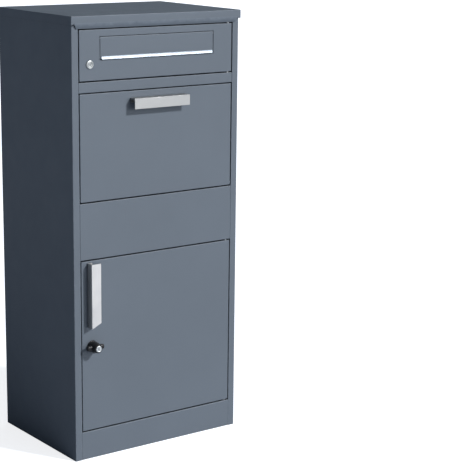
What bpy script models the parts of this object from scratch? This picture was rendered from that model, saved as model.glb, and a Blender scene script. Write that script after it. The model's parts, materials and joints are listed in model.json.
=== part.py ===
"""Parcel drop box: a free-standing cabinet of folded steel sheet.

From the top down it has a cap, a mail door with a letter flap, a tilt-out parcel tray,
a fixed front panel, a lower door with a lockable knob, and a plinth.
Metres, +Z up, the front faces -Y, and the origin is on the ground under the middle of the box.
"""
import math

import bmesh
import bpy
from mathutils import Matrix, Vector

# Sheet, gaps and fits
SHEET = 0.001
FIT = 0.0003
SIDE_GAP = 0.002
LEVEL_GAP = 0.0025
CAP_GAP = 0.0025

# Cabinet
BODY_WIDTH = 0.444
BODY_DEPTH = 0.322
HEIGHT = 1.000
STILE_FACE = 0.017
JAMB_BEHIND_STOP = 0.003
REAR_FLANGE = 0.035
CAP_SIDE = 0.003
CAP_FRONT = 0.005
CAP_REAR = 0.003
CAP_SKIRT = 0.019
CAP_RETURN_DROP = 0.0085
CAP_RETURN_SETBACK = 0.0035
CAP_RETURN_INSET = 0.010
STOP_GAP = 0.003
STOP_LIP = 0.010
SHELF_FLANGE = 0.015
FLOOR_RISE = 0.0125

# Heights of the front's pieces; the lower door takes what is left of HEIGHT
MAIL_DOOR_HEIGHT = 0.1105
RAIL_HEIGHT = 0.023
TRAY_HEIGHT = 0.238
FIXED_PANEL_HEIGHT = 0.1275
PLINTH_HEIGHT = 0.0655
FIXED_PANEL_RETURN = 0.012

# Doors and their pivots
PAN_DEPTH = 0.018
PIVOT_INSET = 0.008
PIN_RADIUS = 0.0025
PIN_COLLAR_RADIUS = 0.0036
PIN_COLLAR = 0.0015
PIN_TAIL = 0.013
BRACKET_WIDTH = 0.014
BRACKET_DROP = 0.010
BRACKET_LEG = 0.012

# Mail flap
FLAP_MARGIN = 0.053
FLAP_HEIGHT = 0.0485
FLAP_SIDE_GAP = 0.0015
FLAP_TOP_GAP = 0.0013
FLAP_FROM_TOP = 0.0165
FLAP_HEM = 0.0075
FLAP_HEM_DROP = 0.007
ROD_RADIUS = 0.0015
ROD_SETBACK = 0.0045
ROD_FROM_FLAP_TOP = 0.0035
LIP_HEIGHT = 0.0068
LIP_INSET = 0.0025
LIP_SEAT = 0.002
LIP_PROUD = 0.0034
SPRING_COIL_RADIUS = 0.0024
SPRING_WIRE_RADIUS = 0.0004
SPRING_TURNS = 5
SPRING_PITCH = 0.0017
SPRING_POINTS_PER_TURN = 8
SPRING_LEG = 0.006
FLAP_EAR_WIDTH = 0.010
FLAP_EAR_DEPTH = 0.0095
FLAP_EAR_HEIGHT = 0.015

# Tray: a pan with a scoop behind it
TRAY_PIVOT_RISE = 0.006
CHEEK_INSET = 0.012
SCOOP_SET_DOWN = 0.035
SCOOP_DEPTH = 0.104
SCOOP_CORNER = 0.018
CHEEK_DROP = 0.040
CHUTE_REACH = 0.083
CHUTE_DROP = 0.0585
CHUTE_LIP = 0.012
ARC_STEPS = 8

# Pull handles, one folded section used twice
HANDLE_LENGTH = 0.147
HANDLE_FACE = 0.0235
HANDLE_PROJECTION = 0.0195
HANDLE_WALL = 0.003
HANDLE_FOOT = 0.011
HANDLE_SCREW_SPACING = 0.128
HANDLE_SCREW_INSET = 0.0068
HANDLE_END_CUT = 0.011
TRAY_HANDLE_FROM_TOP = 0.0153
DOOR_HANDLE_FROM_TOP = 0.0045
DOOR_HANDLE_FROM_EDGE = 0.0154
SCREW_RADIUS = 0.002
SCREW_HEAD_RADIUS = 0.004
SCREW_HEAD = 0.0022
HOLE_DEPTH = 0.012

# Locks
LOCK_FROM_EDGE = 0.026
MAIL_LOCK_RISE = 0.0355
MAIL_BEZEL_RADIUS = 0.0095
MAIL_BEZEL = 0.0025
MAIL_BARREL_RADIUS = 0.008
MAIL_PLUG_RADIUS = 0.0055
MAIL_NUT_WALL = 0.0035
NUT_HEIGHT = 0.004
CAM_CLEARANCE = 0.002
CAM_THICKNESS = 0.002
CAM_REACH = 0.038
CAM_WIDTH = 0.013
CAM_SCREW_DEPTH = 0.008
KNOB_DROP = 0.1965
BEZEL_CHAMFER = 0.33
KNOB_BEZEL_RADIUS = 0.0132
KNOB_BARREL_RADIUS = 0.0095
KNOB_SPINDLE_RADIUS = 0.005
KNOB_NUT_WALL = 0.0045
KNOB_BASE_RADIUS = 0.0128
KNOB_BASE = 0.0025
KNOB_SHOULDER = 0.0145
KNOB_NECK_RADIUS = 0.0122
KNOB_BOSS_RADIUS = 0.0095
KNOB_PROJECTION = 0.030
KNOB_WING_SPAN = 0.044
KNOB_WING_WIDTH = 0.012
KNOB_WING_START = 0.009
KNOB_WING_END = 0.019
KEY_PLUG_RADIUS = 0.00725
KEY_PLUG_LENGTH = 0.016
KEYWAY_WIDTH = 0.0013
KEYWAY_LENGTH = 0.008
KEYWAY_DEPTH = 0.004

# Lower door's stiffener and buffer
STIFFENER_FROM_EDGE = 0.135
STIFFENER_WIDTH = 0.052
STIFFENER_CROWN = 0.024
STIFFENER_DEPTH = 0.0135
STIFFENER_END_GAP = 0.004
BUFFER_RADIUS = 0.004
BUFFER_FROM_EDGE = 0.090

SHEET_HOLE = 0.006
ROUND_SIDES = 24
SMALL_SIDES = 16
MERGE_DISTANCE = 0.00001

# Places worked out from the sizes above
TOTAL_DEPTH = KNOB_PROJECTION + BODY_DEPTH + CAP_REAR
FRONT = KNOB_PROJECTION - TOTAL_DEPTH / 2
REAR = FRONT + BODY_DEPTH
HALF_BODY = BODY_WIDTH / 2
STOP_SETBACK = PAN_DEPTH + STOP_GAP
JAMB_DEPTH = STOP_SETBACK + JAMB_BEHIND_STOP
STILE_EDGE = HALF_BODY - STILE_FACE
RAIL_HALF = STILE_EDGE - FIT
DOOR_HALF = STILE_EDGE - SIDE_GAP
FLANGE_FACE = REAR - SHEET - FIT
INSIDE_HALF = HALF_BODY - SHEET - FIT
INSIDE_REAR = FLANGE_FACE - SHEET - FIT
UNDER_CAP = HEIGHT - SHEET - FIT
CAP_BOTTOM = HEIGHT - CAP_SKIRT - CAP_RETURN_DROP
MAIL_DOOR_TOP = CAP_BOTTOM - CAP_GAP
MAIL_DOOR_BOTTOM = MAIL_DOOR_TOP - MAIL_DOOR_HEIGHT
RAIL_TOP = MAIL_DOOR_BOTTOM - LEVEL_GAP
RAIL_BOTTOM = RAIL_TOP - RAIL_HEIGHT
TRAY_TOP = RAIL_BOTTOM - SIDE_GAP
TRAY_BOTTOM = TRAY_TOP - TRAY_HEIGHT
FIXED_TOP = TRAY_BOTTOM - LEVEL_GAP
FIXED_BOTTOM = FIXED_TOP - FIXED_PANEL_HEIGHT
DOOR_TOP = FIXED_BOTTOM - LEVEL_GAP
DOOR_BOTTOM = PLINTH_HEIGHT + LEVEL_GAP
HEADER_BOTTOM = MAIL_DOOR_TOP + LEVEL_GAP
FLOOR_TOP = PLINTH_HEIGHT + FLOOR_RISE
PIVOT_SETBACK = 2 * SHEET + 2 * FIT + PIN_RADIUS
PIVOT_X = DOOR_HALF - PIVOT_INSET
PIVOT_Y = FRONT + PIVOT_SETBACK
TRAY_AXIS_Z = TRAY_BOTTOM + TRAY_PIVOT_RISE
SCOOP_HEIGHT = TRAY_HEIGHT - SCOOP_SET_DOWN
FLAP_TOP = MAIL_DOOR_TOP - FLAP_FROM_TOP
FLAP_BOTTOM = FLAP_TOP - FLAP_HEIGHT
FLAP_HALF = DOOR_HALF - FLAP_MARGIN
FLAP_AXIS_Y = FRONT + ROD_SETBACK
FLAP_AXIS_Z = FLAP_TOP - ROD_FROM_FLAP_TOP
BEHIND_FACE = FRONT + SHEET + FIT
PIN_HOLE = PIN_RADIUS + FIT
SCREW_HOLE = SCREW_RADIUS + FIT
LOCK_X = -DOOR_HALF + LOCK_FROM_EDGE
MAIL_LOCK_Z = MAIL_DOOR_BOTTOM + MAIL_LOCK_RISE
KNOB_Z = DOOR_TOP - KNOB_DROP
CAM_START = JAMB_DEPTH + CAM_CLEARANCE
CHEEK_OUTSIDE = DOOR_HALF - CHEEK_INSET
CHEEK_INSIDE = CHEEK_OUTSIDE - SHEET
CHUTE_START = PAN_DEPTH - PIVOT_SETBACK + 2 * FIT


def clear_scene():
    """Start from an empty scene."""
    for thing in list(bpy.data.objects):
        bpy.data.objects.remove(thing, do_unlink=True)


def make_collection(name):
    """Add a collection to the scene."""
    collection = bpy.data.collections.new(name)
    bpy.context.scene.collection.children.link(collection)
    return collection


def make_material(name, colour, roughness, metallic):
    """A plain Principled material."""
    material = bpy.data.materials.new(name)
    material.use_nodes = True
    shader = material.node_tree.nodes["Principled BSDF"]
    shader.inputs["Base Color"].default_value = (*colour, 1.0)
    shader.inputs["Roughness"].default_value = roughness
    shader.inputs["Metallic"].default_value = metallic
    return material


FINISHES = {
    "powder": ((0.16, 0.19, 0.23), 0.45, 0.0),
    "satin": ((0.60, 0.60, 0.60), 0.35, 1.0),
    "zinc": ((0.62, 0.62, 0.60), 0.30, 1.0),
    "lip": ((0.85, 0.88, 0.92), 0.30, 0.0),
    "black": ((0.012, 0.012, 0.014), 0.40, 0.0),
    "rubber": ((0.02, 0.02, 0.02), 0.70, 0.0),
}


def add_part(name, mesh, finish):
    """Put a mesh in the parts collection with its own material."""
    part = bpy.data.objects.new(name, mesh)
    PARTS.objects.link(part)
    mesh.materials.append(make_material(name + "_" + finish, *FINISHES[finish]))
    return part


def add_cutter(name, mesh):
    """Put a mesh in the cutters collection, hidden from renders."""
    cutter = bpy.data.objects.new(name, mesh)
    CUTTERS.objects.link(cutter)
    cutter.hide_render = True
    cutter.display_type = "WIRE"
    return cutter


def finish_mesh(bm, name):
    """Turn a bmesh into a mesh."""
    mesh = bpy.data.meshes.new(name)
    bm.to_mesh(mesh)
    bm.free()
    return mesh


def box_mesh(name, low, high, open_side=None):
    """A box between two corners, perhaps without the face on one side."""
    bm = bmesh.new()
    bmesh.ops.create_cube(bm, size=1.0)
    size = Vector(high) - Vector(low)
    middle = (Vector(high) + Vector(low)) / 2
    bmesh.ops.scale(bm, vec=size, verts=bm.verts)
    bmesh.ops.translate(bm, vec=middle, verts=bm.verts)
    if open_side is not None:
        bm.normal_update()
        gone = [face for face in bm.faces if face.normal.dot(Vector(open_side)) > 0.9]
        bmesh.ops.delete(bm, geom=gone, context="FACES")
    return finish_mesh(bm, name)


AXIS_TURNS = {
    "X": Matrix.Rotation(math.pi / 2, 4, "Y"),
    "Y": Matrix.Rotation(-math.pi / 2, 4, "X"),
    "Z": Matrix.Identity(4),
}


def rod_mesh(name, axis, middle, radius, length, sides=SMALL_SIDES):
    """A round bar along X, Y or Z, centred on a point."""
    bm = bmesh.new()
    place = Matrix.Translation(Vector(middle)) @ AXIS_TURNS[axis]
    bmesh.ops.create_cone(
        bm, cap_ends=True, segments=sides, radius1=radius, radius2=radius, depth=length, matrix=place
    )
    return finish_mesh(bm, name)


def smooth_round(part):
    """Shade the round faces smooth and keep the edges sharp."""
    part.data.shade_smooth()
    part.data.set_sharp_from_angle(angle=math.radians(35))


def box(name, low, high, finish):
    """A plain block."""
    return add_part(name, box_mesh(name, low, high), finish)


def rod(name, axis, middle, radius, length, finish):
    """A plain pin or bar."""
    part = add_part(name, rod_mesh(name, axis, middle, radius, length), finish)
    smooth_round(part)
    return part


def solidify(part, thickness, offset):
    """Give an open surface its sheet thickness."""
    wall = part.modifiers.new("sheet", "SOLIDIFY")
    wall.thickness = thickness
    wall.offset = offset
    wall.use_even_offset = True


def pan(name, low, high, open_side, finish):
    """A tray of sheet, open on one side, whose outside is the box between two corners."""
    part = add_part(name, box_mesh(name, low, high, open_side), finish)
    solidify(part, SHEET, -1.0)
    return part


def place_outline(axis, point, along):
    """A point of an outline: (x, y) when it runs along Z, (x, z) along Y, (y, z) along X."""
    if axis == "Z":
        return Vector((point[0], point[1], along))
    if axis == "Y":
        return Vector((point[0], along, point[1]))
    return Vector((along, point[0], point[1]))


def strip_mesh(name, outline, axis, start, stop):
    """An open strip: the outline's edges swept from start to stop along an axis."""
    bm = bmesh.new()
    corners = [bm.verts.new(place_outline(axis, point, start)) for point in outline]
    edges = [bm.edges.new(pair) for pair in zip(corners, corners[1:])]
    swept = bmesh.ops.extrude_edge_only(bm, edges=edges)["geom"]
    moved = [item for item in swept if isinstance(item, bmesh.types.BMVert)]
    travel = place_outline(axis, (0, 0), stop - start)
    bmesh.ops.translate(bm, vec=travel, verts=moved)
    return finish_mesh(bm, name)


def folded(name, outline, axis, start, stop, finish, thickness=SHEET):
    """Folded sheet: the metal lies on the left of the outline, seen looking down the axis."""
    part = add_part(name, strip_mesh(name, outline, axis, start, stop), finish)
    solidify(part, thickness, 1.0)
    return part


def plate_mesh(name, outline, axis, start, stop):
    """A solid with a flat outline, drawn out from start to stop along an axis."""
    bm = bmesh.new()
    face = bm.faces.new([bm.verts.new(place_outline(axis, point, start)) for point in outline])
    swept = bmesh.ops.extrude_face_region(bm, geom=[face])["geom"]
    moved = [item for item in swept if isinstance(item, bmesh.types.BMVert)]
    travel = place_outline(axis, (0, 0), stop - start)
    bmesh.ops.translate(bm, vec=travel, verts=moved)
    bmesh.ops.recalc_face_normals(bm, faces=bm.faces)
    return finish_mesh(bm, name)


def plate(name, outline, axis, start, stop, finish):
    """A plate or bar with a flat outline."""
    return add_part(name, plate_mesh(name, outline, axis, start, stop), finish)


def turned(name, profile, x, z, finish, sides=ROUND_SIDES):
    """A piece turned about a line through (x, z) that points out of the front.

    The profile's points are (radius, distance in front of the front plane), and run down
    the outer side, front to back.
    """
    bm = bmesh.new()
    corners = [bm.verts.new((radius, 0.0, height)) for radius, height in profile]
    closed = profile[0][0] > 0
    ends = zip(corners, corners[1:] + corners[:1]) if closed else zip(corners, corners[1:])
    for pair in ends:
        bm.edges.new(pair)
    part = add_part(name, finish_mesh(bm, name), finish)
    screw = part.modifiers.new("turn", "SCREW")
    screw.steps = sides
    screw.render_steps = sides
    screw.use_merge_vertices = True
    screw.merge_threshold = MERGE_DISTANCE
    part.location = (x, FRONT, z)
    part.rotation_euler = (math.pi / 2, 0.0, 0.0)
    bpy.context.view_layer.update()
    return part


def combine(part, other, operation):
    """Cut or join with an exact Boolean."""
    boolean = part.modifiers.new(other.name, "BOOLEAN")
    boolean.operation = operation
    boolean.object = other
    boolean.solver = "EXACT"


def cut_box(part, label, low, high):
    """Cut a box out of a part."""
    name = part.name + "_" + label
    combine(part, add_cutter(name, box_mesh(name, low, high)), "DIFFERENCE")


def cut_hole(part, label, axis, middle, radius, length=SHEET_HOLE):
    """Cut a round hole through a part."""
    name = part.name + "_" + label
    mesh = rod_mesh(name, axis, middle, radius, length)
    combine(part, add_cutter(name, mesh), "DIFFERENCE")


def arc(middle, radius, start, stop, steps=ARC_STEPS):
    """Points on an arc, angles in degrees from the first axis of the outline's plane."""
    turns = [math.radians(start + (stop - start) * step / steps) for step in range(steps + 1)]
    return [(middle[0] + radius * math.cos(t), middle[1] + radius * math.sin(t)) for t in turns]


def axis_empty(name, place, parent=None):
    """An empty on a joint's axis."""
    empty = bpy.data.objects.new(name, None)
    empty.empty_display_size = 0.02
    PARTS.objects.link(empty)
    empty.location = place
    bpy.context.view_layer.update()
    if parent is not None:
        hang(parent, [empty])
    return empty


def hang(empty, pieces):
    """Parent pieces to an empty and leave them where they are."""
    bpy.context.view_layer.update()
    for piece in pieces:
        piece.parent = empty
        piece.matrix_parent_inverse = empty.matrix_world.inverted()
    bpy.context.view_layer.update()


def mirror_x(points):
    """The same outline on the other side, in reverse, so that the metal stays inside."""
    return [(-x, y) for x, y in reversed(points)]


def side_panels():
    """Each side is one sheet: jamb, stile, side wall and rear flange."""
    right = [
        (STILE_EDGE, FRONT + JAMB_DEPTH),
        (STILE_EDGE, FRONT),
        (HALF_BODY, FRONT),
        (HALF_BODY, FLANGE_FACE),
        (HALF_BODY - REAR_FLANGE, FLANGE_FACE),
    ]
    for name, outline, side in (
        ("right_side_panel", right, 1),
        ("left_side_panel", mirror_x(right), -1),
    ):
        panel = folded(name, outline, "Z", 0.0, UNDER_CAP, "powder")
        hole = (side * STILE_EDGE, PIVOT_Y, TRAY_AXIS_Z)
        cut_hole(panel, "tray_pin_hole", "X", hole, PIN_HOLE)


def back_panel():
    """A flat sheet fixed over the side panels' rear flanges."""
    low = (-HALF_BODY, REAR - SHEET, 0.0)
    high = (HALF_BODY, REAR, UNDER_CAP)
    box("back_panel", low, high, "powder")


def top_cap():
    """A lid with skirts all round and a sloping return under its front skirt."""
    half = HALF_BODY + CAP_SIDE
    low = (-half, FRONT - CAP_FRONT, HEIGHT - CAP_SKIRT)
    high = (half, REAR + CAP_REAR, HEIGHT)
    mesh = box_mesh("top_cap", low, high, (0, 0, -1))
    bm = bmesh.new()
    bm.from_mesh(mesh)
    for side in (-1, 1):
        bmesh.ops.bisect_plane(
            bm,
            geom=bm.verts[:] + bm.edges[:] + bm.faces[:],
            plane_co=(side * (half - CAP_RETURN_INSET), 0, 0),
            plane_no=(1, 0, 0),
        )
    front_edge = [
        edge
        for edge in bm.edges
        if all(abs(v.co.z - low[2]) < FIT and abs(v.co.y - low[1]) < FIT for v in edge.verts)
        and all(abs(v.co.x) < half - CAP_RETURN_INSET / 2 for v in edge.verts)
    ]
    swept = bmesh.ops.extrude_edge_only(bm, edges=front_edge)["geom"]
    moved = [item for item in swept if isinstance(item, bmesh.types.BMVert)]
    bmesh.ops.translate(bm, vec=(0, CAP_RETURN_SETBACK, -CAP_RETURN_DROP), verts=moved)
    for vert in moved:
        vert.co.x -= math.copysign(CAP_RETURN_SETBACK, vert.co.x)
    bm.to_mesh(mesh)
    bm.free()
    cap = add_part("top_cap", mesh, "powder")
    solidify(cap, SHEET, -1.0)


def header_rail():
    """A folded rail under the cap, with the mail door's upper stop lip."""
    outline = [
        (FRONT, UNDER_CAP - 2 * SHEET),
        (FRONT, HEADER_BOTTOM),
        (FRONT + STOP_SETBACK, HEADER_BOTTOM),
        (FRONT + STOP_SETBACK, HEADER_BOTTOM - STOP_LIP),
    ]
    rail = folded("header_rail", outline, "X", -RAIL_HALF, RAIL_HALF, "powder")
    cut_hole(rail, "pin_hole", "Z", (PIVOT_X, PIVOT_Y, HEADER_BOTTOM), PIN_HOLE)


def mail_rail():
    """The rail between the mail door and the tray, with the tray's stop lip under it."""
    outline = [
        (FRONT + JAMB_DEPTH + STOP_LIP, RAIL_TOP),
        (FRONT, RAIL_TOP),
        (FRONT, RAIL_BOTTOM),
        (FRONT + STOP_SETBACK, RAIL_BOTTOM),
        (FRONT + STOP_SETBACK, RAIL_BOTTOM - STOP_LIP),
    ]
    rail = folded("mail_rail", outline, "X", -RAIL_HALF, RAIL_HALF, "powder")
    cut_hole(rail, "pin_hole", "Z", (PIVOT_X, PIVOT_Y, RAIL_TOP), PIN_HOLE)


def mail_shelf():
    """The floor of the mail compartment, flanged down all round."""
    top = RAIL_TOP - SHEET - FIT
    low = (-INSIDE_HALF, FRONT + JAMB_DEPTH + FIT, top - SHELF_FLANGE)
    high = (INSIDE_HALF, INSIDE_REAR, top)
    pan("mail_shelf", low, high, (0, 0, -1), "powder")


def fixed_front_panel():
    """The fixed panel between tray and lower door, with the lower door's stop lip."""
    outline = [
        (FRONT + FIXED_PANEL_RETURN, FIXED_TOP - STOP_LIP),
        (FRONT + FIXED_PANEL_RETURN, FIXED_TOP),
        (FRONT, FIXED_TOP),
        (FRONT, FIXED_BOTTOM),
        (FRONT + STOP_SETBACK, FIXED_BOTTOM),
        (FRONT + STOP_SETBACK, FIXED_BOTTOM - STOP_LIP),
    ]
    panel = folded("fixed_front_panel", outline, "X", -RAIL_HALF, RAIL_HALF, "powder")
    cut_hole(panel, "pin_hole", "Z", (PIVOT_X, PIVOT_Y, FIXED_BOTTOM), PIN_HOLE)


def plinth_panel():
    """The kick panel: its upper return carries the lower door, its lower one rests on the ground."""
    outline = [
        (FRONT + JAMB_DEPTH, PLINTH_HEIGHT),
        (FRONT, PLINTH_HEIGHT),
        (FRONT, 0.0),
        (FRONT + JAMB_DEPTH, 0.0),
    ]
    panel = folded("plinth_panel", outline, "X", -RAIL_HALF, RAIL_HALF, "powder")
    cut_hole(panel, "pin_hole", "Z", (PIVOT_X, PIVOT_Y, PLINTH_HEIGHT), PIN_HOLE)


def floor_panel():
    """The floor of the parcel compartment, flanged down all round."""
    low = (-INSIDE_HALF, FRONT + JAMB_DEPTH + FIT, FLOOR_TOP - SHELF_FLANGE)
    high = (INSIDE_HALF, INSIDE_REAR, FLOOR_TOP)
    pan("floor_panel", low, high, (0, 0, -1), "powder")


def tray_pins():
    """Two headed pins in the jambs, on which the tray swings."""
    for side, name in ((-1, "tray_left_pin"), (1, "tray_right_pin")):
        inner = DOOR_HALF - SHEET - BRACKET_LEG / 2
        outer = STILE_EDGE + SHEET + FIT + PIN_COLLAR
        middle = (side * (inner + outer) / 2, PIVOT_Y, TRAY_AXIS_Z)
        pin = rod(name, "X", middle, PIN_RADIUS, outer - inner, "zinc")
        head = (side * (outer - PIN_COLLAR / 2), PIVOT_Y, TRAY_AXIS_Z)
        mesh = rod_mesh(name + "_head", "X", head, PIN_COLLAR_RADIUS, PIN_COLLAR)
        combine(pin, add_cutter(name + "_head", mesh), "UNION")


def door_buffer():
    """A soft stud on the lip behind the lower door's top edge."""
    length = STOP_SETBACK - PAN_DEPTH - 2 * FIT
    middle = (
        -DOOR_HALF + BUFFER_FROM_EDGE,
        FRONT + STOP_SETBACK - FIT - length / 2,
        FIXED_BOTTOM - STOP_LIP + BUFFER_RADIUS / 2,
    )
    rod("door_buffer", "Y", middle, BUFFER_RADIUS, length, "rubber")


def pivot(prefix, edge_z, fixed_z, up):
    """A door's pivot pin and the small angle inside the door that holds the pin's tail."""
    direction = 1 if up else -1
    label = "top" if up else "bottom"
    tip = fixed_z + direction * (SHEET + PIN_COLLAR)
    tail = edge_z - direction * PIN_TAIL
    middle = (PIVOT_X, PIVOT_Y, (tip + tail) / 2)
    name = prefix + "_" + label + "_pin"
    pin = rod(name, "Z", middle, PIN_RADIUS, abs(tip - tail), "zinc")
    collar_z = edge_z - direction * (SHEET + FIT + PIN_COLLAR / 2)
    place = (PIVOT_X, PIVOT_Y, collar_z)
    collar = rod_mesh(name + "_collar", "Z", place, PIN_COLLAR_RADIUS, PIN_COLLAR)
    combine(pin, add_cutter(name + "_collar", collar), "UNION")
    shelf = edge_z - direction * BRACKET_DROP
    outline = [
        (BEHIND_FACE, shelf - direction * BRACKET_LEG),
        (BEHIND_FACE, shelf),
        (FRONT + PAN_DEPTH - PIN_COLLAR, shelf),
    ]
    if up:
        outline.reverse()
    left = DOOR_HALF - SHEET - FIT - BRACKET_WIDTH
    bracket_name = prefix + "_" + label + "_pin_bracket"
    bracket = folded(bracket_name, outline, "X", left, left + BRACKET_WIDTH, "zinc")
    cut_hole(bracket, "hole", "Z", (PIVOT_X, PIVOT_Y, shelf), PIN_HOLE)
    return [pin, bracket]


def door_pan(name, bottom, top):
    """A door: a pan of sheet, open at the back, with a pivot hole in its top and bottom flanges."""
    low = (-DOOR_HALF, FRONT, bottom)
    high = (DOOR_HALF, FRONT + PAN_DEPTH, top)
    panel = pan(name, low, high, (0, 1, 0), "powder")
    for label, level in (("upper_pin_hole", top), ("lower_pin_hole", bottom)):
        cut_hole(panel, label, "Z", (PIVOT_X, PIVOT_Y, level), PIN_HOLE)
    return panel


def cam_set(prefix, z, body_parts):
    """A lock's cam, pointing up when unlocked, and the screw that holds it."""
    start = FRONT + CAM_START
    half = CAM_WIDTH / 2
    outline = [(LOCK_X + half, z - half), (LOCK_X + half, z + CAM_REACH - half)]
    outline += arc((LOCK_X, z + CAM_REACH - half), half, 0, 180)[1:]
    outline += [(LOCK_X - half, z - half)]
    cam = plate(prefix + "_cam", outline, "Y", start, start + CAM_THICKNESS, "zinc")
    cut_hole(cam, "hole", "Y", (LOCK_X, start + CAM_THICKNESS / 2, z), SCREW_HOLE)
    head = CAM_START + CAM_THICKNESS + FIT
    profile = [
        (0.0, CAM_SCREW_DEPTH - CAM_START - FIT),
        (SCREW_RADIUS, CAM_SCREW_DEPTH - CAM_START - FIT),
        (SCREW_RADIUS, -head),
        (SCREW_HEAD_RADIUS, -head),
        (SCREW_HEAD_RADIUS, -head - SCREW_HEAD),
        (0.0, -head - SCREW_HEAD),
    ]
    screw = turned(prefix + "_cam_screw", profile, LOCK_X, z, "zinc", SMALL_SIDES)
    body_parts += [cam, screw]


def lock_housing(name, z, bezel_radius, bezel, barrel, bore, finish):
    """A lock's fixed body: a bezel on the door's face and a barrel through the door."""
    rear = -(CAM_START - FIT)
    chamfer = bezel * BEZEL_CHAMFER
    profile = [
        (bezel_radius - chamfer, bezel),
        (bezel_radius, bezel - chamfer),
        (bezel_radius, FIT),
        (barrel, FIT),
        (barrel, rear),
        (bore, rear),
        (bore, bezel),
    ]
    return turned(name, profile, LOCK_X, z, finish)


def lock_nut(name, z, barrel, wall):
    """A hexagon nut on the barrel, behind the door."""
    radius = barrel + wall
    middle = (LOCK_X, BEHIND_FACE + NUT_HEIGHT / 2, z)
    nut = add_part(name, rod_mesh(name, "Y", middle, radius, NUT_HEIGHT, 6), "zinc")
    cut_hole(nut, "bore", "Y", middle, barrel + FIT)
    return nut


def mail_lock():
    """The mail door's cam lock: fixed housing and nut, turning plug, cam and screw."""
    bore = MAIL_PLUG_RADIUS + FIT
    housing = lock_housing(
        "mail_lock_housing", MAIL_LOCK_Z, MAIL_BEZEL_RADIUS, MAIL_BEZEL, MAIL_BARREL_RADIUS, bore, "zinc"
    )
    nut = lock_nut("mail_lock_nut", MAIL_LOCK_Z, MAIL_BARREL_RADIUS, MAIL_NUT_WALL)
    face = MAIL_BEZEL - FIT
    deep = CAM_SCREW_DEPTH - CAM_START
    profile = [
        (0.0, face),
        (MAIL_PLUG_RADIUS, face),
        (MAIL_PLUG_RADIUS, -CAM_START + FIT),
        (SCREW_HOLE, -CAM_START + FIT),
        (SCREW_HOLE, deep),
        (0.0, deep),
    ]
    plug = turned("mail_lock_plug", profile, LOCK_X, MAIL_LOCK_Z, "zinc", SMALL_SIDES)
    cut_keyway(plug, MAIL_LOCK_Z, face)
    moving = [plug]
    cam_set("mail_lock", MAIL_LOCK_Z, moving)
    return [housing, nut], moving


def cut_keyway(plug, z, face):
    """The slot for the key, upright when the lock is unlocked."""
    low = (LOCK_X - KEYWAY_WIDTH / 2, FRONT - face - KEYWAY_DEPTH, z - KEYWAY_LENGTH / 2)
    high = (LOCK_X + KEYWAY_WIDTH / 2, FRONT - face + KEYWAY_DEPTH, z + KEYWAY_LENGTH / 2)
    cut_box(plug, "keyway", low, high)


def knob_lock():
    """The lower door's lock: housing and nut, winged knob with its cam, and the key plug."""
    bore = KNOB_SPINDLE_RADIUS + FIT
    housing = lock_housing(
        "knob_housing", KNOB_Z, KNOB_BEZEL_RADIUS, KNOB_BASE - FIT, KNOB_BARREL_RADIUS, bore, "black"
    )
    nut = lock_nut("knob_lock_nut", KNOB_Z, KNOB_BARREL_RADIUS, KNOB_NUT_WALL)
    socket = KEY_PLUG_RADIUS + FIT
    floor = KNOB_PROJECTION - KEY_PLUG_LENGTH - FIT
    deep = CAM_SCREW_DEPTH - CAM_START
    profile = [
        (0.0, floor),
        (socket, floor),
        (socket, KNOB_PROJECTION - SHEET),
        (KNOB_BOSS_RADIUS - SHEET, KNOB_PROJECTION - SHEET),
        (KNOB_BOSS_RADIUS, KNOB_PROJECTION - 2 * SHEET),
        (KNOB_NECK_RADIUS, KNOB_SHOULDER),
        (KNOB_BASE_RADIUS, KNOB_BASE + 2 * SHEET),
        (KNOB_BASE_RADIUS, KNOB_BASE),
        (KNOB_SPINDLE_RADIUS, KNOB_BASE),
        (KNOB_SPINDLE_RADIUS, -CAM_START + FIT),
        (SCREW_HOLE, -CAM_START + FIT),
        (SCREW_HOLE, deep),
        (0.0, deep),
    ]
    knob = turned("knob", profile, LOCK_X, KNOB_Z, "black")
    inner = (socket + KNOB_BOSS_RADIUS) / 2
    for side, label in ((-1, "left"), (1, "right")):
        ends = sorted((side * inner, side * KNOB_WING_SPAN / 2))
        low = (LOCK_X + ends[0], FRONT - KNOB_WING_END, KNOB_Z - KNOB_WING_WIDTH / 2)
        high = (LOCK_X + ends[1], FRONT - KNOB_WING_START, KNOB_Z + KNOB_WING_WIDTH / 2)
        wing = add_cutter("knob_wing_" + label, box_mesh("knob_wing_" + label, low, high))
        rounding = wing.modifiers.new("rounding", "BEVEL")
        rounding.width = KNOB_WING_WIDTH / 4
        rounding.segments = 2
        combine(knob, wing, "UNION")
    profile = [
        (0.0, KNOB_PROJECTION),
        (KEY_PLUG_RADIUS, KNOB_PROJECTION),
        (KEY_PLUG_RADIUS, KNOB_PROJECTION - KEY_PLUG_LENGTH),
        (0.0, KNOB_PROJECTION - KEY_PLUG_LENGTH),
    ]
    key_plug = turned("key_plug", profile, LOCK_X, KNOB_Z, "zinc")
    cut_keyway(key_plug, KNOB_Z, KNOB_PROJECTION)
    turning = [knob]
    cam_set("knob", KNOB_Z, turning)
    return [housing, nut], turning, [key_plug]


def handle_outline(start, direction):
    """A handle's section as (across, y): foot on the door, web, and grip turned back over it."""
    points = [
        (0.0, FIT),
        (HANDLE_FOOT, FIT),
        (HANDLE_FOOT, HANDLE_WALL),
        (HANDLE_WALL, HANDLE_WALL),
        (HANDLE_WALL, HANDLE_PROJECTION - HANDLE_WALL),
        (HANDLE_FACE, HANDLE_PROJECTION - HANDLE_WALL),
        (HANDLE_FACE, HANDLE_PROJECTION),
        (0.0, HANDLE_PROJECTION),
    ]
    return [(start + direction * across, FRONT - out) for across, out in points]


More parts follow.
